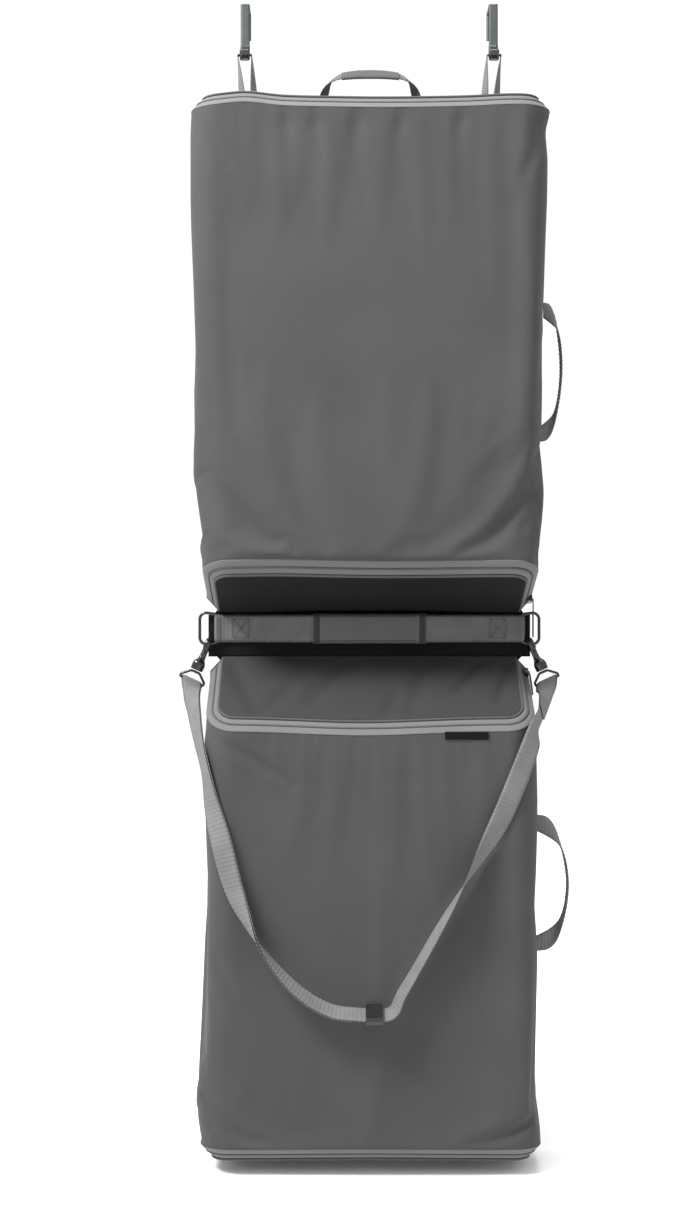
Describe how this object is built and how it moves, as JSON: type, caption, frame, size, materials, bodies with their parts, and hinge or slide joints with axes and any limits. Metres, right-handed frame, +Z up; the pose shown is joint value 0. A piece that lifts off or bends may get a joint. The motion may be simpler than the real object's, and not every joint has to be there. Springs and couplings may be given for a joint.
{
  "type": "garment bag",
  "caption": "Soft bi-fold garment bag hung on over-door hooks: zipped upper and lower cases joined by a spine with a carry handle, and a clip-on shoulder strap.",
  "frame": {"origin": "midway between the two over-door hooks, on the door's front face and level with the door's top", "axes": "+Z up, the bag's front faces -Y, +X to the right as seen from the front"},
  "size_m": [0.5265, 0.2139, 1.5587],
  "materials": {
    "case_fabric": "matt dark grey polyester with a fine plain weave",
    "spine_fabric": "matt near-black polyester",
    "zip_tape": "grey woven zip tape with a nylon coil",
    "webbing": "grey polypropylene webbing, ribbed",
    "board": "black polyethylene board",
    "black_metal": "glossy black coated zinc and steel",
    "black_plastic": "moulded black acetal",
    "hook_metal": "grey painted steel strip with a black dipped lip",
    "label": "small plain black woven label"
  },
  "bodies": {
    "door_hooks": {"door_hook_left": "hook_metal", "door_hook_right": "hook_metal"},
    "upper_case": {"hanging_loop_left": "webbing", "hanging_loop_right": "webbing", "upper_shell": "case_fabric", "upper_back_panel": "case_fabric", "upper_back_board": "board", "upper_top_zip_shell_tape": "zip_tape", "upper_bottom_zip_shell_tape": "zip_tape", "hanger_bracket": "black_plastic", "upper_garment_strap": "webbing", "upper_strap_buckle": "black_plastic"},
    "upper_top_lid": {"upper_top_lid": "case_fabric", "upper_top_zip_lid_tape": "zip_tape"},
    "top_handle": {"top_handle": "webbing", "top_handle_grip": "webbing"},
    "upper_bottom_lid": {"upper_bottom_lid": "case_fabric", "upper_bottom_zip_lid_tape": "zip_tape"},
    "upper_side_handle": {"upper_side_handle": "webbing"},
    "lock_bar": {"hanger_lock_bar": "black_metal"},
    "spine": {"spine_panel": "spine_fabric", "spine_webbing": "webbing", "carry_handle_grip": "webbing"},
    "d_ring_left": {"d_ring_left": "black_metal"},
    "d_ring_right": {"d_ring_right": "black_metal"},
    "strap": {"shoulder_strap": "webbing", "swivel_eye_left": "black_metal", "swivel_eye_right": "black_metal"},
    "snap_hook_left": {"snap_hook_left": "black_metal"},
    "snap_hook_right": {"snap_hook_right": "black_metal"},
    "snap_gate_left": {"snap_gate_left": "black_metal"},
    "snap_gate_right": {"snap_gate_right": "black_metal"},
    "tri_glide": {"tri_glide": "black_plastic"},
    "lower_case": {"lower_shell": "case_fabric", "lower_back_panel": "case_fabric", "lower_back_board": "board", "lower_top_zip_shell_tape": "zip_tape", "lower_bottom_zip_shell_tape": "zip_tape", "lower_garment_strap": "webbing", "lower_strap_buckle": "black_plastic", "woven_label": "label"},
    "lower_top_lid": {"lower_top_lid": "case_fabric", "lower_top_zip_lid_tape": "zip_tape"},
    "lower_bottom_lid": {"lower_bottom_lid": "case_fabric", "lower_bottom_zip_lid_tape": "zip_tape"},
    "lower_side_handle": {"lower_side_handle": "webbing"},
    "upper_top_zip_slider": {"upper_top_zip_slider": "black_metal"},
    "upper_top_zip_puller": {"upper_top_zip_puller": "black_metal"},
    "upper_bottom_zip_slider": {"upper_bottom_zip_slider": "black_metal"},
    "upper_bottom_zip_puller": {"upper_bottom_zip_puller": "black_metal"},
    "lower_top_zip_slider": {"lower_top_zip_slider": "black_metal"},
    "lower_top_zip_puller": {"lower_top_zip_puller": "black_metal"},
    "lower_bottom_zip_slider": {"lower_bottom_zip_slider": "black_metal"},
    "lower_bottom_zip_puller": {"lower_bottom_zip_puller": "black_metal"}
  },
  "joints": [
    {"name": "bag_swing", "type": "hinge", "parent": "door_hooks", "child": "upper_case", "pos_m": [0, -0.0105, -0.072], "axis": [-1, 0, 0], "range_deg": [0, 12]},
    {"name": "upper_top_lid_hinge", "type": "hinge", "parent": "upper_case", "child": "upper_top_lid", "pos_m": [0, -0.01, -0.158], "axis": [-1, 0, 0], "range_deg": [0, 80]},
    {"name": "top_handle_hinge", "type": "hinge", "parent": "upper_top_lid", "child": "top_handle", "pos_m": [0, -0.062, -0.1568], "axis": [1, 0, 0], "range_deg": [-30, 15]},
    {"name": "upper_bottom_lid_hinge", "type": "hinge", "parent": "upper_case", "child": "upper_bottom_lid", "pos_m": [0, -0.01, -0.836], "axis": [1, 0, 0], "range_deg": [0, 20]},
    {"name": "upper_side_handle_hinge", "type": "hinge", "parent": "upper_case", "child": "upper_side_handle", "pos_m": [0.2297, -0.071, -0.515], "axis": [0.0253, 0, 0.9997], "range_deg": [-45, 45]},
    {"name": "lock_bar_hinge", "type": "hinge", "parent": "upper_case", "child": "lock_bar", "pos_m": [0, -0.03, -0.228], "axis": [-1, 0, 0], "range_deg": [0, 80]},
    {"name": "spine_fold", "type": "hinge", "parent": "upper_case", "child": "spine", "pos_m": [0, -0.006, -0.837], "axis": [1, 0, 0], "range_deg": [0, 90]},
    {"name": "lower_fold", "type": "hinge", "parent": "spine", "child": "lower_case", "pos_m": [0, -0.006, -0.898], "axis": [1, 0, 0], "range_deg": [0, 90]},
    {"name": "d_ring_left_turn", "type": "hinge", "parent": "spine", "child": "d_ring_left", "pos_m": [-0.209, -0.0145, -0.859], "axis": [0, 0, 1], "range_deg": [-5, 5]},
    {"name": "d_ring_right_turn", "type": "hinge", "parent": "spine", "child": "d_ring_right", "pos_m": [0.209, -0.0145, -0.859], "axis": [0, 0, 1], "range_deg": [-5, 5]},
    {"name": "strap_swing", "type": "hinge", "parent": "spine", "child": "strap", "pos_m": [0, -0.0145, -0.8805], "axis": [-1, 0, 0], "range_deg": [0, 75]},
    {"name": "tri_glide_slide", "type": "slide", "parent": "strap", "child": "tri_glide", "axis": [1, 0, 0], "range_m": [-0.006, 0.006]},
    {"name": "lower_top_lid_hinge", "type": "hinge", "parent": "lower_case", "child": "lower_top_lid", "pos_m": [0, -0.01, -0.898], "axis": [-1, 0, 0], "range_deg": [0, 50]},
    {"name": "lower_bottom_lid_hinge", "type": "hinge", "parent": "lower_case", "child": "lower_bottom_lid", "pos_m": [0, -0.01, -1.5555], "axis": [1, 0, 0], "range_deg": [0, 100]},
    {"name": "lower_side_handle_hinge", "type": "hinge", "parent": "lower_case", "child": "lower_side_handle", "pos_m": [0.22135, -0.071, -1.199], "axis": [-0.0142, 0, 0.9999], "range_deg": [-50, 50]},
    {"name": "snap_hook_left_swivel", "type": "hinge", "parent": "strap", "child": "snap_hook_left", "pos_m": [-0.23574, -0.0145, -0.91247], "axis": [-0.4067, 0, -0.9135], "range_deg": [-10, 10]},
    {"name": "snap_gate_left_press", "type": "hinge", "parent": "snap_hook_left", "child": "snap_gate_left", "pos_m": [-0.23025, -0.0215, -0.90014], "axis": [-0.9135, 0, 0.4067], "range_deg": [0, 25], "stiffness_Nm_per_rad": 0.03},
    {"name": "snap_hook_right_swivel", "type": "hinge", "parent": "strap", "child": "snap_hook_right", "pos_m": [0.23574, -0.0145, -0.91247], "axis": [0.4067, 0, -0.9135], "range_deg": [-10, 10]},
    {"name": "snap_gate_right_press", "type": "hinge", "parent": "snap_hook_right", "child": "snap_gate_right", "pos_m": [0.23025, -0.0215, -0.90014], "axis": [-0.9135, 0, -0.4067], "range_deg": [0, 25], "stiffness_Nm_per_rad": 0.03},
    {"name": "upper_top_zip_slide", "type": "slide", "parent": "upper_case", "child": "upper_top_zip_slider", "axis": [0, -1, 0], "range_m": [0, 0.07]},
    {"name": "upper_top_puller_swing", "type": "hinge", "parent": "upper_top_zip_slider", "child": "upper_top_zip_puller", "pos_m": [0.23798, -0.026, -0.16718], "axis": [0, 0, 1], "range_deg": [0, 80]},
    {"name": "upper_bottom_zip_slide", "type": "slide", "parent": "upper_case", "child": "upper_bottom_zip_slider", "axis": [0, -0.9328, 0.3603], "range_m": [0, 0.07]},
    {"name": "upper_bottom_puller_swing", "type": "hinge", "parent": "upper_bottom_zip_slider", "child": "upper_bottom_zip_puller", "pos_m": [0.22298, -0.026, -0.81902], "axis": [0, -1, 0], "range_deg": [0, 80]},
    {"name": "lower_top_zip_slide", "type": "slide", "parent": "lower_case", "child": "lower_top_zip_slider", "axis": [0, -0.8463, -0.5327], "range_m": [0, 0.024]},
    {"name": "lower_top_puller_swing", "type": "hinge", "parent": "lower_top_zip_slider", "child": "lower_top_zip_puller", "pos_m": [0.21798, -0.026, -0.91887], "axis": [0, -0.5327, 0.8463], "range_deg": [0, 15]},
    {"name": "lower_bottom_zip_slide", "type": "slide", "parent": "lower_case", "child": "lower_bottom_zip_slider", "axis": [0, -1, 0], "range_m": [0, 0.07]},
    {"name": "lower_bottom_puller_swing", "type": "hinge", "parent": "lower_bottom_zip_slider", "child": "lower_bottom_zip_puller", "pos_m": [0.22598, -0.026, -1.54632], "axis": [0, 0, 1], "range_deg": [0, 80]}
  ],
  "couplings": [
    {"joint": "lower_fold", "follows": "spine_fold", "ratio": 1}
  ]
}
